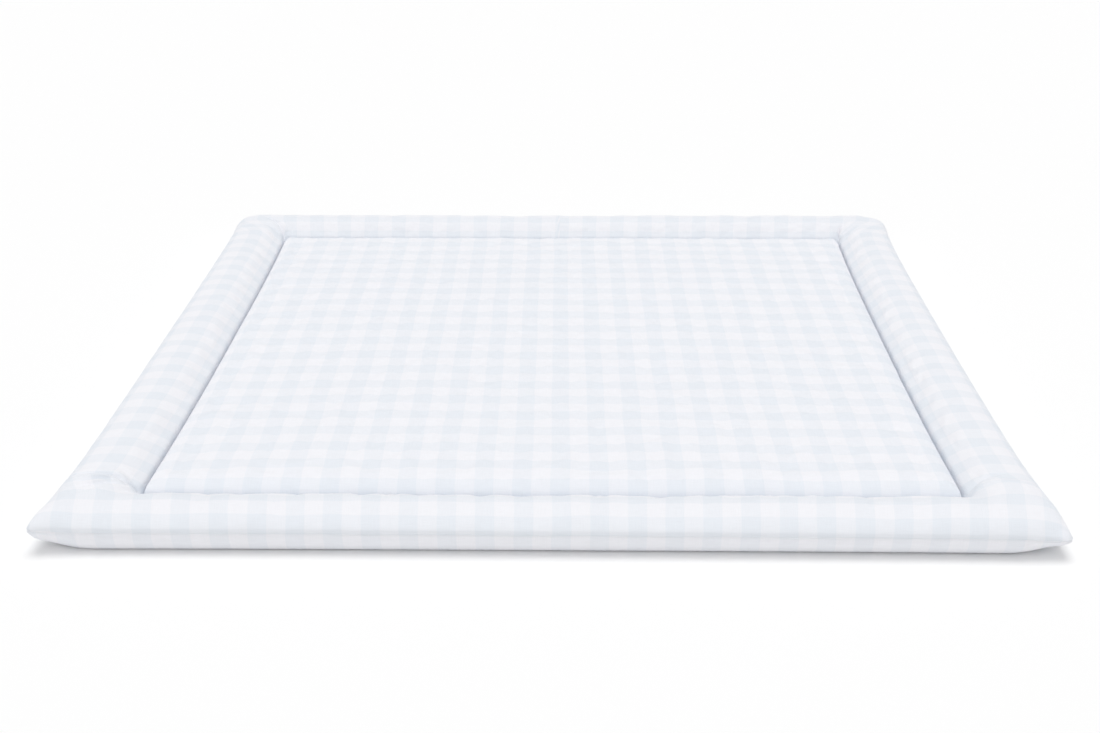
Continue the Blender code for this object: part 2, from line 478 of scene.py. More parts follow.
def top_places(sizes, x, y):
    """The top panel's surface above places on the plain rectangle."""
    out_x, out_y = outside(x, y)
    inside = np.maximum(out_x, out_y) < 0.0
    end_edge = np.where(y < 0.0, FRONT_EDGE, BACK_EDGE)
    centre = panel_height(sizes, np.minimum(out_x, 0.0), np.minimum(out_y, 0.0), end_edge)
    depth, fold_x, fold_y = creases(x, y)
    border = border_height(sizes, out_x, out_y, y < 0.0) - depth
    back = np.clip(y / REACH_Y, 0.0, 1.0) * smooth_step(out_y / BACK_RISE_START)
    border = border + BACK_RISE * (back * smooth_step((BORDER_Y - out_y) / BACK_RISE_END))
    slit = SLIT_DEPTH * bell(np.maximum(out_x, out_y), SLIT_WIDTH)
    height = np.where(inside, centre, border) + unevenness(x, y) - slit
    from_seam = np.minimum(BORDER_X - out_x, BORDER_Y - out_y)
    above = np.hypot(from_seam, height - sizes.seam_height)
    notch = SEAM_DEPTH * bell(above, SEAM_WIDTH) + GROOVE_DEPTH * bell(above - EDGE_STITCH_RISE, GROOVE_WIDTH)
    notch_x = notch * ((BORDER_X - out_x) < SEAM_STRIP)
    notch_y = notch * ((BORDER_Y - out_y) < SEAM_STRIP)
    lean_x = wall_lean(out_x) * smooth_step(-out_y / LEAN_END)
    lean_y = wall_lean(out_y) * smooth_step(-out_x / LEAN_END) * (y > 0.0)
    places = laid(sizes, x, y, height)
    places[..., 0] += np.sign(x) * (lean_x - notch_x) + fold_x * ~inside
    places[..., 1] += np.sign(y) * (lean_y - notch_y) + fold_y * ~inside
    return places


def wall_lean(out):
    """How far the channel's two walls lean over its bottom, until they nearly touch."""
    lean, place, width = ROLL_LEAN
    roll = -lean * bell(out - place, width) * (out > 0.0)
    lean, place, width = CENTRE_LEAN
    return roll + lean * bell(out + place, width) * (out < 0.0)


def base_places(sizes, x, y, turn):
    """The base panel's surface, a turn in radians down from the seam, where a quarter turn is the floor."""
    under = UNDER_REACH + UNDER_SLANT * x / REACH_X
    core_x = REACH_X - under - CONTACT_RADIUS
    core_y = REACH_Y - under - CONTACT_RADIUS
    turn_x = np.maximum(np.abs(x) - core_x, 0.0) / (REACH_X - core_x)
    turn_y = np.maximum(np.abs(y) - core_y, 0.0) / (REACH_Y - core_y)
    both = np.hypot(turn_x, turn_y)
    floor_x = np.copysign(np.minimum(np.abs(x), core_x) + CONTACT_RADIUS * turn_x / both, x)
    floor_y = np.copysign(np.minimum(np.abs(y), core_y) + CONTACT_RADIUS * turn_y / both, y)
    tip = tip_share(*outside(x, y))
    inward = (1.0 - np.cos(turn)) * (1.0 - TIP_SHARE * tip) + TIP_SHARE * np.sin(turn) * tip
    place_x = x + (floor_x - x) * inward
    place_y = y + (floor_y - y) * inward
    places = laid(sizes, place_x, place_y, sizes.seam_height * (1.0 - np.sin(turn)))
    below = sizes.seam_height * np.sin(turn)
    notch = SEAM_DEPTH * bell(below, SEAM_WIDTH)
    near_x = (REACH_X - np.abs(x)) < NEAR
    near_y = (REACH_Y - np.abs(y)) < NEAR
    swell = puckers(np.where(near_x, y, x), below, *BASE_PUCKERS) * smooth_step(below / BASE_REST)
    fade = smooth_step((0.5 * math.pi - turn) / FLOOR_TURN)
    places[..., 0] -= np.sign(x) * near_x * (notch - swell) * fade
    places[..., 1] -= np.sign(y) * near_y * (notch - swell) * fade
    return places


# Steps of the grid along one axis: at the channel, in the roll, in the centre, and at the seam, and the
# share of the distance from the channel or seam by which the steps grow
CHANNEL_STEP = 0.0011
ROLL_STEP = 0.0019
CENTRE_STEP = 0.0050
SEAM_STEP = 0.00012
STEP_GROWTH = 0.11
SEAM_GROWTH = 0.55

# Rounding of a stored place against its station
STATION_SLACK = 1e-5


def growing(length, first, growth, longest):
    """Places from 0 to past a length, in steps that grow to the longest."""
    places = [0.0]
    while places[-1] < length:
        places.append(places[-1] + min(first + growth * places[-1], longest))
    return places


def stations(half_panel, border):
    """Places along one axis, close together where the surface turns fast. Each half has an even count."""
    inner = growing(half_panel, CHANNEL_STEP, STEP_GROWTH, CENTRE_STEP)
    outer = growing(0.5 * border, CHANNEL_STEP, STEP_GROWTH, ROLL_STEP)
    edge = growing(border - outer[-1], SEAM_STEP, SEAM_GROWTH, ROLL_STEP)
    if (len(inner) + len(outer) + len(edge)) % 2 == 0:
        edge.append(edge[-1] + ROLL_STEP)
    inner = [half_panel * (1.0 - place / inner[-1]) for place in reversed(inner)]
    rest = border - outer[-1]
    edge = [half_panel + border - place * rest / edge[-1] for place in reversed(edge)]
    side = inner[1:] + [half_panel + place for place in outer[1:]] + edge[1:]
    return np.array([-place for place in side[::-1]] + [0.0] + side)


def closed_grid(name, across, deep, turns):
    """A grid of the top panel with rings of the base panel below its rim, closed with a flat face.

    Each vertex keeps its place on the plain rectangle and its turn below the seam.
    """
    mesh = bmesh.new()
    columns, rows = len(across) - 1, len(deep) - 1
    bmesh.ops.create_grid(mesh, x_segments=columns, y_segments=rows, size=1.0)
    plan = mesh.verts.layers.float_vector.new("plan")
    for vert in mesh.verts:
        i = round((vert.co.x + 1.0) * 0.5 * columns)
        j = round((vert.co.y + 1.0) * 0.5 * rows)
        vert[plan] = (across[i], deep[j], 0.0)
    rim = [edge for edge in mesh.edges if edge.is_boundary]
    for turn in turns:
        grown = bmesh.ops.extrude_edge_only(mesh, edges=rim)["geom"]
        rim = [part for part in grown if isinstance(part, bmesh.types.BMEdge) and part.is_boundary]
        fresh = {part for part in grown if isinstance(part, bmesh.types.BMVert)}
        for vert in fresh:
            above = next(e.other_vert(vert) for e in vert.link_edges if e.other_vert(vert) not in fresh)
            vert[plan] = (above[plan][0], above[plan][1], turn)
    bmesh.ops.edgeloop_fill(mesh, edges=rim)
    data = bpy.data.meshes.new(name)
    mesh.to_mesh(data)
    mesh.free()
    return placed(name, data)


def placed(name, data):
    """A new object of the data, in the scene."""
    obj = bpy.data.objects.new(name, data)
    bpy.context.scene.collection.objects.link(obj)
    return obj


def stored(items, name, kind, width=1):
    """One stored value of each item, as an array."""
    values = np.zeros(len(items) * width, kind)
    items.foreach_get(name, values)
    return values


def plan_of(obj):
    return stored(obj.data.attributes["plan"].data, "vector", np.float32, 3).reshape(-1, 3).astype(float)


def set_places(obj, places):
    obj.data.vertices.foreach_set("co", np.ascontiguousarray(places, np.float32).ravel())
    obj.data.update()


def mat_places(sizes, plan):
    places = top_places(sizes, plan[:, 0], plan[:, 1])
    below = plan[:, 2] > 0.0
    base = plan[below]
    places[below] = base_places(sizes, base[:, 0], base[:, 1], base[:, 2])
    return places


def places_of(obj):
    return stored(obj.data.vertices, "co", np.float32, 3).reshape(-1, 3)


def turn_faces_out(obj):
    """Make every face look outwards."""
    bpy.ops.object.select_all(action="DESELECT")
    obj.select_set(True)
    bpy.context.view_layer.objects.active = obj
    bpy.ops.object.mode_set(mode="EDIT")
    bpy.ops.mesh.select_all(action="SELECT")
    bpy.ops.mesh.normals_make_consistent(inside=False)
    bpy.ops.object.mode_set(mode="OBJECT")


# The simulation holds the cloth fully this far from the channel and the seam, and releases it over a
# length beyond. The filling's own hold grows towards the centre's middle.
CHANNEL_HOLD = 0.004
CENTRE_RELEASE = 0.036
ROLL_RELEASE = 0.014
SEAM_HOLD = 0.002
SEAM_RELEASE = 0.006
FILLING_HOLD = 0.35
FILLING_START = 0.010
FILLING_LENGTH = 0.050
LEAST_HOLD = 0.02

# The simulation's frames and cloth settings
SWELL_FRAMES = 20
CLOTH_SETTINGS = {
    "quality": 3,
    "mass": 0.25,
    "tension_stiffness": 20.0,
    "compression_stiffness": 12.0,
    "shear_stiffness": 6.0,
    "bending_stiffness": 0.3,
    "shrink_min": -0.012,
    "use_pressure": True,
    "vertex_group_mass": "held",
    "pin_stiffness": 1.0,
}

# The share of the simulated move that the roll leaves out, and the place and length over which this comes
CALM_SHARE = 0.70
CALM_START = 0.010
CALM_LENGTH = 0.026


def held_share(plan):
    """How firmly each point is held in the simulation: fully at stitches and below, softly by the filling."""
    out_x, out_y = outside(plan[:, 0], plan[:, 1])
    out = np.maximum(out_x, out_y)
    from_seam = np.minimum(BORDER_X - out_x, BORDER_Y - out_y)
    reach = np.where(out < 0.0, CENTRE_RELEASE, ROLL_RELEASE)
    channel = 1.0 - smooth_step((np.abs(out) - CHANNEL_HOLD) / reach)
    seam = 1.0 - smooth_step((from_seam - SEAM_HOLD) / SEAM_RELEASE)
    filling = FILLING_HOLD * smooth_step((-out - FILLING_START) / FILLING_LENGTH) + LEAST_HOLD
    share = np.maximum(np.maximum(channel, seam), filling)
    return np.where(plan[:, 2] > 0.0, 1.0, share)


def swollen(sizes, across, deep):
    """How far the simulation moves the top panel's cloth, as a grid of vectors over the coarse stations."""
    obj = closed_grid("padding", across, deep, TURNS[1::2])
    plan = plan_of(obj)
    start = mat_places(sizes, plan)
    set_places(obj, start)
    turn_faces_out(obj)
    group = obj.vertex_groups.new(name="held")
    for index, share in enumerate(held_share(plan)):
        group.add([index], float(share), "REPLACE")
    cloth = obj.modifiers.new("padding", "CLOTH")
    for name, value in CLOTH_SETTINGS.items():
        setattr(cloth.settings, name, value)
    cloth.settings.uniform_pressure_force = sizes.swell
    cloth.settings.effector_weights.gravity = 0.0
    cloth.collision_settings.use_collision = False
    cloth.point_cache.frame_start = 1
    cloth.point_cache.frame_end = SWELL_FRAMES
    scene = bpy.context.scene
    for step in range(1, SWELL_FRAMES + 1):
        scene.frame_set(step)
    bpy.ops.object.modifier_apply(modifier="padding")
    scene.frame_set(1)
    moved = places_of(obj).astype(float) - start
    length = np.linalg.norm(moved, axis=1, keepdims=True)
    limit = sizes.swell_limit
    moved *= limit * np.tanh(length / limit) / np.maximum(length, TINY)
    out = np.maximum(*outside(plan[:, 0], plan[:, 1]))
    moved *= (1.0 - CALM_SHARE * smooth_step((out - CALM_START) / CALM_LENGTH))[:, None]
    grid = np.zeros((len(deep), len(across), 3))
    top = plan[:, 2] == 0.0
    i = np.abs(across[None, :] - plan[top, 0][:, None]).argmin(axis=1)
    j = np.abs(deep[None, :] - plan[top, 1][:, None]).argmin(axis=1)
    grid[j, i] = moved[top]
    data = obj.data
    bpy.data.objects.remove(obj)
    bpy.data.meshes.remove(data)
    return grid


# Weights of a cubic curve's middle, against 1 for each of the two places further off
CUBIC_NEAR = 9.0
CUBIC_SUM = 16.0


def refined(grid, axis):
    """The grid with one more value in the middle of each step along one axis, on a cubic curve."""
    grid = np.moveaxis(grid, axis, 0)
    padded = np.concatenate([grid[:1], grid, grid[-1:]])
    fine = np.zeros((2 * len(grid) - 1,) + grid.shape[1:])
    fine[::2] = grid
    near, far = padded[1:-2] + padded[2:-1], padded[:-3]
    fine[1::2] = (CUBIC_NEAR * near - far - padded[3:]) / CUBIC_SUM
    return np.moveaxis(fine, 0, axis)


# Turns of the base panel's rings, close together below the seam
TURNS = (0.020, 0.042, 0.068, 0.100, 0.150, 0.240, 0.400, 0.600, 0.850, 1.100, 1.350, 0.5 * math.pi)


def arc_share(sizes):
    """Share of the cloth's length from the channel to the seam, at even steps over the border's width."""
    out = np.linspace(0.0, BORDER_Y, ARC_STEPS)
    height = border_height(sizes, np.full_like(out, -1.0), out, 1.0)
    length = np.concatenate([[0.0], np.cumsum(np.hypot(np.diff(out), np.diff(height)))])
    return np.linspace(0.0, 1.0, ARC_STEPS), length / length[-1]


# Where the blue columns and rows begin, and how closely they run, on each part of the mat
COLUMN_START = -0.0044
COLUMN_SLANT = -0.0128
ROW_START = -0.3430
ROW_STEP = 0.0391
ROW_DRIFT = 0.0090
FRONT_COLUMN = 0.0398
FRONT_GATHER = {-1: 0.0587, 1: 0.0844}
FRONT_BOW = 0.0042
BACK_COLUMN = -0.0077
BACK_SPREAD = 1.042
BACK_SPREAD_GROWTH = 0.035
LEFT_ROWS = (-0.4225, 0.0367)
RIGHT_ROWS = (-0.4195, 0.0382)
ROLL_CHECKS = 5.0
ROW_BEND = 0.011
ROW_BEND_SLOPE = 0.045
ROW_BEND_SHARE = 0.5
ROW_LEAD = 0.0024
ROW_OFFSET = 3.0
DRIFT_ROWS = 18.0
GATHER_POWER = 0.4
BASE_SPREAD = 0.9624

# Repeats at which the left and right rolls, the front roll, and the back roll's left and right half begin
ROLL_COLUMNS = (-10.5, 11.0)
FRONT_ROW = -1.5
BACK_ROWS = (19.0, 18.0)

# At a corner the columns and the rows pass into those of the front or back: how far before the stitched
# corner, over what length, and over what length outwards from a side's channel
COLUMNS_PASS = (0.020, 0.055)
ROWS_PASS = (0.004, 0.026)
ROWS_AWAY = 0.015
ARC_STEPS = 400


def centre_u(x, y):
    return x - np.sign(x) * bow(x, y) - COLUMN_START - COLUMN_SLANT * np.clip(y, -PANEL_HALF_Y, PANEL_HALF_Y)


def centre_v(y):
    drift = ROW_DRIFT * np.sin(2.0 * np.pi * (y - ROW_START) / (DRIFT_ROWS * ROW_STEP))
    return (y + drift - ROW_START) / ROW_STEP * REPEAT


def front_u(x, across_share):
    """Columns of the front border, which are gathered towards the seam."""
    share = np.clip(across_share, 0.0, 1.0)
    far = np.clip((FRONT_COLUMN - x) / (FRONT_COLUMN + REACH_X), 0.0, 1.0)
    x = x - (FRONT_BOW * np.sin(np.pi * far ** 2) - flare(x, -REACH_Y) * np.sign(x)) * share
    gather = np.where(x < FRONT_COLUMN, FRONT_GATHER[-1], FRONT_GATHER[1])
    return REPEAT + (x - FRONT_COLUMN) / (1.0 - gather * share ** GATHER_POWER)


def back_u(x, across_share):
    """Columns of the back border, which are spread wider than the centre's."""
    return (x - BACK_COLUMN) / (BACK_SPREAD + BACK_SPREAD_GROWTH * np.clip(across_share, 0.0, 1.0))


def roll_v(x, y, across_share):
    """Rows of the side rolls. Near the channel they bend towards the mat's front."""
    start = np.where(x < 0.0, LEFT_ROWS[0], RIGHT_ROWS[0])
    step = np.where(x < 0.0, LEFT_ROWS[1], RIGHT_ROWS[1])
    bend = np.maximum(ROW_BEND + ROW_BEND_SLOPE * y, 0.0)
    shift = bend * (1.0 - smooth_step(across_share / ROW_BEND_SHARE))
    return ((y + shift - start) / step - ROW_OFFSET) * REPEAT


def top_uv(sizes, x, y, side, end):
    """Cloth coordinates on the top panel, where a blue column or row begins at each whole repeat."""
    steps, shares = arc_share(sizes)
    out_x, out_y = outside(x, y)
    share_x = np.clip(out_x / BORDER_X, 0.0, 1.0)
    share_y = np.clip(out_y / BORDER_Y, 0.0, 1.0)
    arc_x = np.interp(share_x, steps, shares) * ROLL_CHECKS * CHECK
    arc_y = np.interp(share_y, steps, shares)
    arc_y = arc_y * ROLL_CHECKS * CHECK + 4.0 * ROW_LEAD * arc_y * (1.0 - arc_y)
    u = centre_u(x, y)
    v = centre_v(y)
    roll_u = np.where(side < 0, ROLL_COLUMNS[0] * REPEAT - arc_x, ROLL_COLUMNS[1] * REPEAT + arc_x)
    ends_u = np.where(end < 0, front_u(x, share_y), back_u(x, share_y))
    last_v = np.where(x < 0.0, BACK_ROWS[0], BACK_ROWS[1]) * REPEAT
    ends_v = np.where(end < 0, FRONT_ROW * REPEAT - arc_y, last_v + arc_y)
    rolls_v = roll_v(x, y, share_x)
    into_end = smooth_step((out_y + COLUMNS_PASS[0]) / COLUMNS_PASS[1])
    beside_end = smooth_step((out_y + ROWS_PASS[0]) / ROWS_PASS[1])
    away_end = 1.0 - smooth_step(out_x / ROWS_AWAY)
    along_end = np.maximum(beside_end, away_end)
    on_side, on_end = side != 0, end != 0
    u = np.where(on_end & ~on_side, ends_u, u)
    corner_u = np.where(y < 0.0, front_u(x, share_y), back_u(x, share_y))
    u = np.where(on_side, roll_u + (corner_u - roll_u) * into_end, u)
    v = np.where(on_side & ~on_end, rolls_v + (ends_v - rolls_v) * beside_end, v)
    v = np.where(on_end, rolls_v + (ends_v - rolls_v) * along_end, v)
    return u, v


def base_uv(x, y):
    """Cloth coordinates on the base panel, whose checks meet the top panel's at the front seam."""
    u = front_u(x, np.ones_like(x))
    v = (y + REACH_Y) / BASE_SPREAD - CHECK
    return u, v


def lay_cloth_uv(sizes, obj):
    """A UV map in metres of cloth. Corners of one face share a side, so the channel may part the checks."""
    data = obj.data
    plan = plan_of(obj)
    loops = stored(data.loops, "vertex_index", np.int32)
    totals = stored(data.polygons, "loop_total", np.int32)
    face = np.repeat(np.arange(len(totals)), totals)
    middle = np.stack([np.bincount(face, plan[loops, k]) / totals for k in range(3)], axis=-1)
    side = np.sign(middle[:, 0]) * (np.abs(middle[:, 0]) > PANEL_HALF_X)
    end = np.sign(middle[:, 1]) * (np.abs(middle[:, 1]) > PANEL_HALF_Y)
    below = middle[:, 2] > 0.0
    x, y = plan[loops, 0], plan[loops, 1]
    top_u, top_v = top_uv(sizes, x, y, side[face], end[face])
    places = places_of(obj)[loops]
    base_u, base_v = base_uv(places[:, 0].astype(float), places[:, 1].astype(float))
    uv = np.stack([np.where(below[face], base_u, top_u), np.where(below[face], base_v, top_v)], axis=-1)
    layer = data.uv_layers.new(name="cloth")
    layer.data.foreach_set("uv", uv.astype(np.float32).ravel())


# The checks' sway and fray by size and scale, the softness of their edges, how much the weave and the
# uneven yarns show, tone and roughness by spread and least, and each bump by strength and distance
SWAY = 0.0055
SWAY_SCALE = 9.0
FRAY = 0.0010
FRAY_SCALE = 900.0
CHECK_SOFTNESS = 0.12
WEAVE_SHARE = 0.30
YARN_SCALE = 1300.0
YARN_STRETCH = 0.05
TONE = (0.070, 0.930)
ROUGHNESS = (0.10, 0.82)
WEAVE_BUMP = (0.35, 0.00012)
THREAD_BUMP = (0.4, 0.0001)
THREAD_SCALE = 1600.0
THREAD_SHADE = 0.86
NOISE_DETAIL = 2.0
EVEN = (1.0, 1.0, 1.0)


def node(tree, kind, **values):
    made = tree.nodes.new("ShaderNode" + kind)
    for name, value in values.items():
        setattr(made, name, value)
    return made


def new_material(name):
    """A material with its node tree and its shader."""
    material = bpy.data.materials.new(name)
    material.use_nodes = True
    return material, material.node_tree, material.node_tree.nodes["Principled BSDF"]


def put(made, values):
    """Give a node's inputs their values by name."""
    for name, value in values.items():
        made.inputs[name].default_value = value


def add_bump(tree, shader, height, strength, distance):
    bump = node(tree, "Bump")
    put(bump, {"Strength": strength, "Distance": distance})
    tree.links.new(height, bump.inputs["Height"])
    tree.links.new(bump.outputs["Normal"], shader.inputs["Normal"])


def maths(tree, operation, *values):
    made = node(tree, "Math", operation=operation)
    for socket, value in zip(made.inputs, values):
        if isinstance(value, (int, float)):
            socket.default_value = value
        else:
            tree.links.new(value, socket)
    return made.outputs[0]


def stripes(tree, place, edge):
    """1 on the blue stripes of one direction and 0 on the white ones, with slightly soft edges."""
    wave = maths(tree, "SINE", maths(tree, "MULTIPLY", place, 2.0 * math.pi / REPEAT))
    ramp = node(tree, "MapRange", interpolation_type="SMOOTHSTEP")
    put(ramp, {"From Min": -edge, "From Max": edge})
    tree.links.new(wave, ramp.inputs["Value"])
    return ramp.outputs["Result"]


def scaled_noise(tree, vector, stretch, scale):
    """Noise over the cloth, drawn out by the stretch along each of its two directions."""
    mapping = node(tree, "Mapping")
    put(mapping, {"Scale": stretch})
    tree.links.new(vector, mapping.inputs["Vector"])
    noise = node(tree, "TexNoise")
    put(noise, {"Scale": scale, "Detail": NOISE_DETAIL})
    tree.links.new(mapping.outputs["Vector"], noise.inputs["Vector"])
    return noise.outputs["Fac"]


def gingham_material(colours):
    """Plain-woven gingham: blue and white yarns both ways, uneven yarns, a fine weave and a soft nap."""
    material, tree, shader = new_material("gingham_cotton_woven")
    link = tree.links.new
    cloth = node(tree, "UVMap", uv_map="cloth").outputs["UV"]
    split = node(tree, "SeparateXYZ")
    link(cloth, split.inputs["Vector"])
    sway = maths(tree, "SUBTRACT", scaled_noise(tree, cloth, EVEN, SWAY_SCALE), 0.5)
    fray = maths(tree, "SUBTRACT", scaled_noise(tree, cloth, EVEN, FRAY_SCALE), 0.5)
    drift = maths(tree, "ADD", maths(tree, "MULTIPLY", sway, SWAY), maths(tree, "MULTIPLY", fray, FRAY))
    u = maths(tree, "ADD", split.outputs["X"], drift)
    v = maths(tree, "SUBTRACT", split.outputs["Y"], drift)
    columns = stripes(tree, u, CHECK_SOFTNESS)
    rows = stripes(tree, v, CHECK_SOFTNESS)
    turn = math.pi / colours.yarn_pitch
    over = maths(
        tree, "MULTIPLY",
        maths(tree, "SINE", maths(tree, "MULTIPLY", split.outputs["X"], turn)),
        maths(tree, "SINE", maths(tree, "MULTIPLY", split.outputs["Y"], turn)),
    )
    showing = maths(tree, "MULTIPLY_ADD", over, WEAVE_SHARE, 0.5)
    blue_share = node(tree, "Mix", data_type="FLOAT")
    link(showing, blue_share.inputs["Factor"])
    link(rows, blue_share.inputs["A"])
    link(columns, blue_share.inputs["B"])
    colour = node(tree, "Mix", data_type="RGBA")
    put(colour, {"A": (*colours.white, 1.0), "B": (*colours.blue, 1.0)})
    link(blue_share.outputs["Result"], colour.inputs["Factor"])
    warp = scaled_noise(tree, cloth, (1.0, YARN_STRETCH, 1.0), YARN_SCALE)
    weft = scaled_noise(tree, cloth, (YARN_STRETCH, 1.0, 1.0), YARN_SCALE)
    tone = maths(tree, "MULTIPLY_ADD", maths(tree, "ADD", warp, weft), *TONE)
    toned = node(tree, "VectorMath", operation="SCALE")
    link(colour.outputs["Result"], toned.inputs[0])
    link(tone, toned.inputs["Scale"])
    link(toned.outputs["Vector"], shader.inputs["Base Color"])
    link(maths(tree, "MULTIPLY_ADD", warp, *ROUGHNESS), shader.inputs["Roughness"])
    put(shader, {"Specular IOR Level": 0.25, "Sheen Weight": 0.12, "Sheen Roughness": 0.55})
    height = maths(tree, "ADD", over, maths(tree, "ADD", warp, weft))
    add_bump(tree, shader, height, *WEAVE_BUMP)
    return material


def thread_material(colours):
    """Twisted sewing thread."""
    material, tree, shader = new_material("sewing_thread")
    place = node(tree, "TexCoord")
    ply = scaled_noise(tree, place.outputs["Object"], EVEN, THREAD_SCALE)
    tone = node(tree, "Mix", data_type="RGBA")
    shade = [THREAD_SHADE * part for part in colours.thread]
    put(tone, {"A": (*shade, 1.0), "B": (*colours.thread, 1.0)})
    tree.links.new(ply, tone.inputs["Factor"])
    tree.links.new(tone.outputs["Result"], shader.inputs["Base Color"])
    add_bump(tree, shader, ply, *THREAD_BUMP)
    put(shader, {"Roughness": 0.6, "Sheen Weight": 0.1})
    return material


class PLAYMAT_OT_padded_body(bpy.types.Operator):
    """Make the padded mat, with its channel, its border roll and its base"""

    bl_idname = "play_mat.padded_body"
    bl_label = "Padded body"

    def execute(self, context):
        sizes = context.scene.play_mat_sizes
        across = stations(PANEL_HALF_X, BORDER_X)
        deep = stations(PANEL_HALF_Y, BORDER_Y)
        obj = closed_grid("padded_mat", across, deep, TURNS)
        plan = plan_of(obj)
        places = mat_places(sizes, plan)
        moved = refined(refined(swollen(sizes, across[::2], deep[::2]), 0), 1)
        top = plan[:, 2] == 0.0
        i = np.searchsorted(across, plan[top, 0] - STATION_SLACK)
        j = np.searchsorted(deep, plan[top, 1] - STATION_SLACK)
        places[top] += moved[j, i]
        set_places(obj, places)
        lay_cloth_uv(sizes, obj)
        obj.data.transform(Matrix.Translation(CENTRE))
        turn_faces_out(obj)
        bpy.ops.object.shade_smooth()
        obj.data.materials.append(gingham_material(context.scene.play_mat_colours))
        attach(obj, BODY)
        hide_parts(NODE)
        return {"FINISHED"}


# Where a stitch's ends begin, as a share of its length, their dip in thread thicknesses, half the length of
# line that gives its direction, and how far the edge stitches face upwards
STITCH_END = 0.30
STITCH_DIP = 0.4
STITCH_HALF = 0.001
EDGE_UPWARD = 0.35

# Places on a line of stitches, its gap at each corner, and the search for the edge stitches' rise
LINE_STEPS = 900
CHANNEL_GAP = 0.002
EDGE_GAP = 0.014
RISE_LENGTH = 0.004
RISE_STEPS = 60


def stitch():
    """One stitch along X, thickest at its middle, whose two ends dip into the cloth."""
    bpy.ops.object.select_all(action="DESELECT")
    bpy.ops.mesh.primitive_uv_sphere_add(segments=6, ring_count=5, radius=0.5 * THREAD_SIZE)
    made = bpy.context.active_object
    bpy.ops.object.mode_set(mode="EDIT")
    bpy.ops.mesh.select_all(action="SELECT")
    bpy.ops.transform.rotate(value=0.5 * math.pi, orient_axis="Y", center_override=(0.0, 0.0, 0.0))
    bpy.ops.transform.resize(value=(STITCH_LENGTH / THREAD_SIZE, 1.0, 1.0))
    bpy.ops.object.mode_set(mode="OBJECT")
    for vert in made.data.vertices:
        vert.select = abs(vert.co.x) > STITCH_END * STITCH_LENGTH
    bpy.ops.object.mode_set(mode="EDIT")
    bpy.ops.transform.translate(value=(0.0, 0.0, -STITCH_DIP * THREAD_SIZE))
    bpy.ops.object.mode_set(mode="OBJECT")
    return made


def sewn_line(name, lines, upward, material):
    """Stitches at even steps along each line of places, joined into one piece."""
    model = stitch()
    copies = []
    for line in lines:
        length = np.concatenate([[0.0], np.cumsum(np.linalg.norm(np.diff(line, axis=0), axis=1))])
        count = int(length[-1] / STITCH_STEP)
        for k in range(count):
            middle = (k + 0.5) * length[-1] / count
            first, second = (
                Vector([np.interp(middle + step, length, line[:, axis]) for axis in range(3)])
                for step in (-STITCH_HALF, STITCH_HALF)
            )
            along = (second - first).normalized()
            up = Vector(upward(first, along))
            across = up.cross(along).normalized()
            up = along.cross(across)
            turn = Matrix((along, across, up)).transposed().to_4x4()
            data = model.data.copy()
            data.transform(Matrix.Translation(CENTRE + 0.5 * (first + second)) @ turn)
            copies.append(placed(name, data))
    bpy.data.objects.remove(model)
    bpy.ops.object.select_all(action="DESELECT")
    for copy in copies:
        copy.select_set(True)
    joined = copies[0]
    bpy.context.view_layer.objects.active = joined
    bpy.ops.object.join()
    joined.name = name
    bpy.ops.object.shade_smooth()
    joined.data.materials.append(material)
    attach(joined, BODY)


def rectangle(half_x, half_y, gap):
    """Four straight lines of plan places round a rectangle, which stop short of its corners."""
    steps = np.linspace(-1.0, 1.0, LINE_STEPS)
    run_x, run_y = steps * (half_x - gap), steps * (half_y - gap)
    side_x, side_y = np.full_like(steps, half_x), np.full_like(steps, half_y)
    return ((run_x, -side_y), (side_x, run_y), (-run_x, side_y), (-side_x, -run_y))


def seam_rise_place(sizes, x, y):
    """Where the edge stitches run: the cloth's place at their rise above one stretch of the seam."""
    back = np.linspace(0.0, RISE_LENGTH, RISE_STEPS)[:, None]
    on_side = np.abs(x) >= REACH_X - TINY
    plan_x = x - np.sign(x) * on_side * back
    plan_y = y - np.sign(y) * ~on_side * back
    places = top_places(sizes, plan_x, plan_y)
    above = np.hypot(back, places[..., 2] - places[:1, :, 2])
    row = (above < EDGE_STITCH_RISE).sum(axis=0)
    return places[np.minimum(row, len(back) - 1), np.arange(places.shape[1])]


class PLAYMAT_OT_channel_stitches(bpy.types.Operator):
    """Sew the stitches along the bottom of the channel"""

    bl_idname = "play_mat.channel_stitches"
    bl_label = "Channel stitches"

    def execute(self, context):
        sizes = context.scene.play_mat_sizes
        plan = rectangle(PANEL_HALF_X, PANEL_HALF_Y, CHANNEL_GAP)
        lines = [top_places(sizes, x, y) for x, y in plan]
        thread = thread_material(context.scene.play_mat_colours)
        sewn_line("channel_stitches", lines, lambda place, along: (0.0, 0.0, 1.0), thread)
        return {"FINISHED"}


class PLAYMAT_OT_edge_stitches(bpy.types.Operator):
    """Sew the stitches just above the perimeter seam"""

    bl_idname = "play_mat.edge_stitches"
    bl_label = "Edge stitches"

    def execute(self, context):
        sizes = context.scene.play_mat_sizes
        lines = [seam_rise_place(sizes, x, y) for x, y in rectangle(REACH_X, REACH_Y, EDGE_GAP)]
        thread = thread_material(context.scene.play_mat_colours)
        sewn_line("edge_stitches", lines, lambda place, along: (along.y, -along.x, EDGE_UPWARD), thread)
        return {"FINISHED"}


# The floor's width, and each light's elevation, azimuth and softness in degrees
FLOOR_SIZE = 60.0
OVERHEAD_ANGLES = (81.0, 180.0, 42.0)
FRONT_ANGLES = (42.0, -8.0, 60.0)


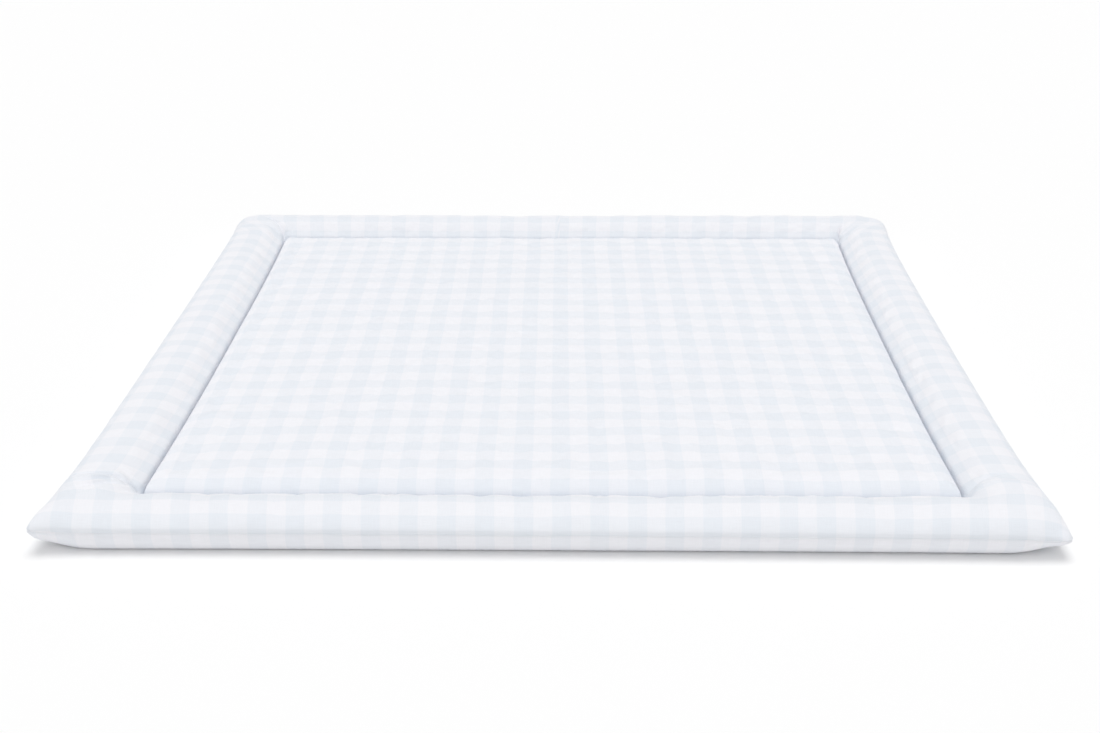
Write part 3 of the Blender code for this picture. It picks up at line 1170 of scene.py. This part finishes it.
class PLAYMAT_OT_stage(bpy.types.Operator):
    """Make the pale floor, the soft light and the camera"""

    bl_idname = "play_mat.stage"
    bl_label = "Stage"

    def execute(self, context):
        settings = context.scene.play_mat_stage
        bpy.ops.object.select_all(action="DESELECT")
        bpy.ops.mesh.primitive_plane_add(size=FLOOR_SIZE, location=(0.0, 0.0, 0.0))
        floor = context.active_object
        floor.name = "floor"
        material, _, shader = new_material("pale_floor")
        colour = (*settings.floor_colour, 1.0)
        put(shader, {"Base Color": colour, "Roughness": 0.9, "Specular IOR Level": 0.0})
        floor.data.materials.append(material)
        world = bpy.data.worlds.new("soft_sky")
        world.use_nodes = True
        sky = world.node_tree.nodes["Background"]
        put(sky, {"Color": (1.0, 1.0, 1.0, 1.0), "Strength": settings.sky_strength})
        context.scene.world = world
        add_light("overhead_light", *OVERHEAD_ANGLES, settings.overhead_strength)
        add_light("front_light", *FRONT_ANGLES, settings.front_strength)
        add_camera()
        context.scene.view_settings.view_transform = "Standard"
        context.scene.view_settings.look = "None"
        return {"FINISHED"}


def add_light(name, elevation, azimuth, softness, strength):
    """Even light from far off. Azimuth 0 is the mat's front, and all angles are in degrees."""
    data = bpy.data.lights.new(name, "SUN")
    data.energy = strength
    data.angle = math.radians(softness)
    rise, turn = math.radians(elevation), math.radians(azimuth)
    source = Vector((math.sin(turn) * math.cos(rise), -math.cos(turn) * math.cos(rise), math.sin(rise)))
    placed(name, data).rotation_euler = source.to_track_quat("Z", "Y").to_euler()


# The camera's place from the middle of the stitched centre, its angles in degrees, its lens and sensor in
# millimetres, and the nearest and furthest that it sees
CAMERA_PLACE = Vector((0.0264, -1.5961, 0.7309))
CAMERA_PITCH = 24.98
CAMERA_YAW = -1.24
CAMERA_ROLL = -0.26
CAMERA_LENS = 45.36
CAMERA_SENSOR = 36.0
CAMERA_NEAR = 0.05
CAMERA_FAR = 100.0


def add_camera():
    """The camera looks forward along +Y, turned by its yaw, pitch and roll."""
    pitch, yaw, roll = (math.radians(a) for a in (CAMERA_PITCH, CAMERA_YAW, CAMERA_ROLL))
    forward = Vector((math.sin(yaw) * math.cos(pitch), math.cos(yaw) * math.cos(pitch), -math.sin(pitch)))
    level = Vector((math.cos(yaw), -math.sin(yaw), 0.0))
    upright = level.cross(forward)
    right = math.cos(roll) * level + math.sin(roll) * upright
    up = -math.sin(roll) * level + math.cos(roll) * upright
    data = bpy.data.cameras.new("camera")
    data.lens = CAMERA_LENS
    data.sensor_width = CAMERA_SENSOR
    data.sensor_fit = "HORIZONTAL"
    data.clip_start = CAMERA_NEAR
    data.clip_end = CAMERA_FAR
    camera = placed("camera", data)
    turn = Matrix((right, up, -forward)).transposed().to_4x4()
    camera.matrix_world = Matrix.Translation(CENTRE + CAMERA_PLACE) @ turn
    bpy.context.scene.camera = camera


class PLAYMAT_PT_sidebar(bpy.types.Panel):
    """The play mat's sizes, colours and steps"""

    bl_label = "Play Mat"
    bl_idname = "PLAYMAT_PT_sidebar"
    bl_space_type = "VIEW_3D"
    bl_region_type = "UI"
    bl_category = "Play Mat"

    def draw(self, context):
        scene = context.scene
        for group in (scene.play_mat_sizes, scene.play_mat_colours, scene.play_mat_stage):
            box = self.layout.box()
            for name in group.__annotations__:
                box.prop(group, name)
        for operator in OPERATORS:
            self.layout.operator(operator.bl_idname)


OPERATORS = (
    PLAYMAT_OT_padded_body, PLAYMAT_OT_channel_stitches, PLAYMAT_OT_edge_stitches, PLAYMAT_OT_stage,
)
CLASSES = (MatSizes, ClothColours, StageSettings, *OPERATORS, PLAYMAT_PT_sidebar)


def register():
    for made in CLASSES:
        bpy.utils.register_class(made)
    bpy.types.Scene.play_mat_sizes = bpy.props.PointerProperty(type=MatSizes)
    bpy.types.Scene.play_mat_colours = bpy.props.PointerProperty(type=ClothColours)
    bpy.types.Scene.play_mat_stage = bpy.props.PointerProperty(type=StageSettings)


def unregister():
    del bpy.types.Scene.play_mat_stage
    del bpy.types.Scene.play_mat_colours
    del bpy.types.Scene.play_mat_sizes
    for made in reversed(CLASSES):
        bpy.utils.unregister_class(made)


def main():
    register()
    bpy.ops.play_mat.padded_body()
    bpy.ops.play_mat.channel_stitches()
    bpy.ops.play_mat.edge_stitches()
    bpy.ops.play_mat.stage()


if __name__ == "__main__":
    main()
